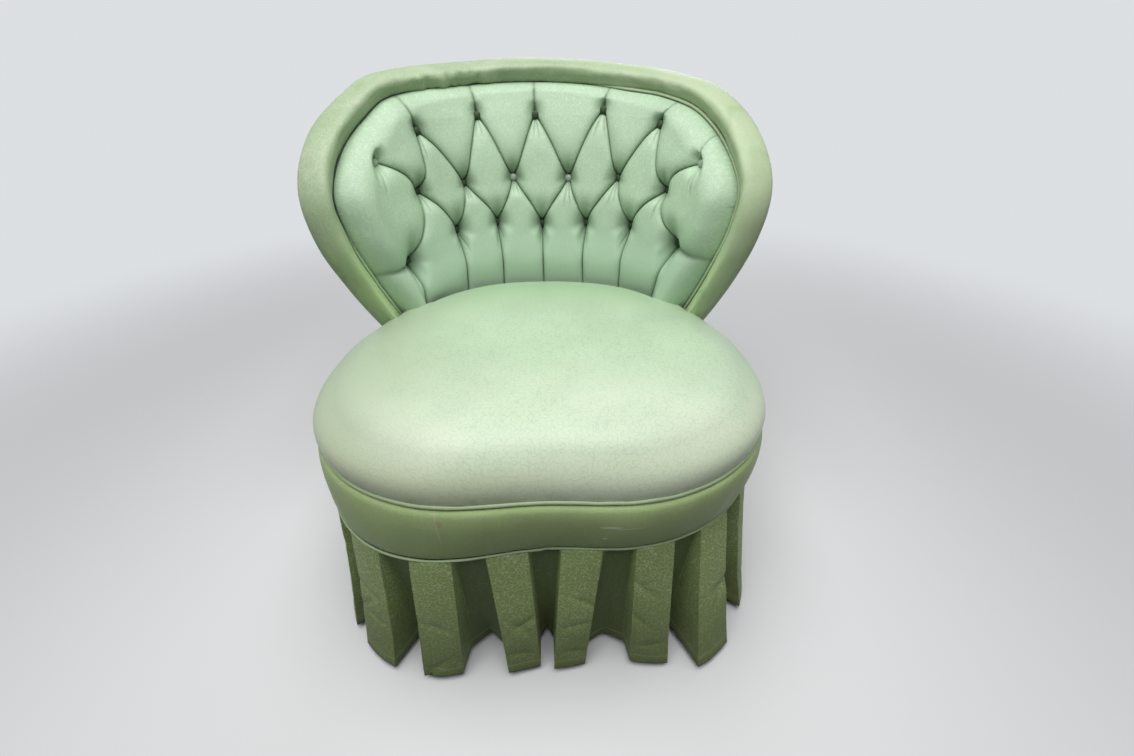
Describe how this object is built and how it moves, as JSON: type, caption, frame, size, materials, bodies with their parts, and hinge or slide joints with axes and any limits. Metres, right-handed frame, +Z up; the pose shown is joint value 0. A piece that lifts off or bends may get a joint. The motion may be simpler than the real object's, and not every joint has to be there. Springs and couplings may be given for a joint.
{
  "type": "slipper chair",
  "caption": "Low armless slipper chair: crowned kidney seat, box-pleated skirt to the floor, and a curved, rolled-edge back with diamond tufting.",
  "frame": {"origin": "on the floor, under the middle of the chair's box", "axes": "+Z up, front of the seat towards -Y, sitter's left towards +X"},
  "size_m": [0.6638, 0.6278, 0.697],
  "materials": {
    "satin": "apple-green satin jacquard with a fine meandering line, worn paler on the seat",
    "beech": "plain unfinished hardwood, hidden by the cover",
    "glide": "nickel-plated nail-on glide",
    "spring_steel": "bare spring wire",
    "hessian": "coarse plain weave",
    "cambric": "thin black dust cloth"
  },
  "bodies": {
    "root": {"seat_cushion": "satin", "seat_top_welt": "satin", "seat_band": "satin", "skirt_welt": "satin", "skirt": "satin", "back_pad": "satin", "back_roll": "satin", "back_welt": "satin", "outside_back": "satin", "back_button_01": "satin", "back_button_02": "satin", "back_button_03": "satin", "back_button_04": "satin", "back_button_05": "satin", "back_button_06": "satin", "back_button_07": "satin", "back_button_08": "satin", "back_button_09": "satin", "back_button_10": "satin", "back_button_11": "satin", "back_button_12": "satin", "back_button_13": "satin", "back_button_14": "satin", "back_button_15": "satin", "back_button_16": "satin", "back_button_17": "satin", "back_button_18": "satin", "back_button_19": "satin", "back_button_20": "satin", "seat_rail_front": "beech", "seat_rail_right": "beech", "seat_rail_rear": "beech", "seat_rail_left": "beech", "corner_block_1": "beech", "corner_block_2": "beech", "corner_block_3": "beech", "corner_block_4": "beech", "leg_1": "beech", "leg_2": "beech", "leg_3": "beech", "leg_4": "beech", "back_post_left": "beech", "back_post_right": "beech", "back_top_rail": "beech", "back_tack_rail": "beech", "leg_glide_1": "glide", "leg_glide_2": "glide", "leg_glide_3": "glide", "leg_glide_4": "glide", "seat_spring_1": "spring_steel", "seat_spring_2": "spring_steel", "seat_spring_3": "spring_steel", "seat_spring_4": "spring_steel", "seat_spring_5": "spring_steel", "seat_deck": "hessian", "back_lining": "hessian", "dust_cover": "cambric"}
  },
  "joints": []
}
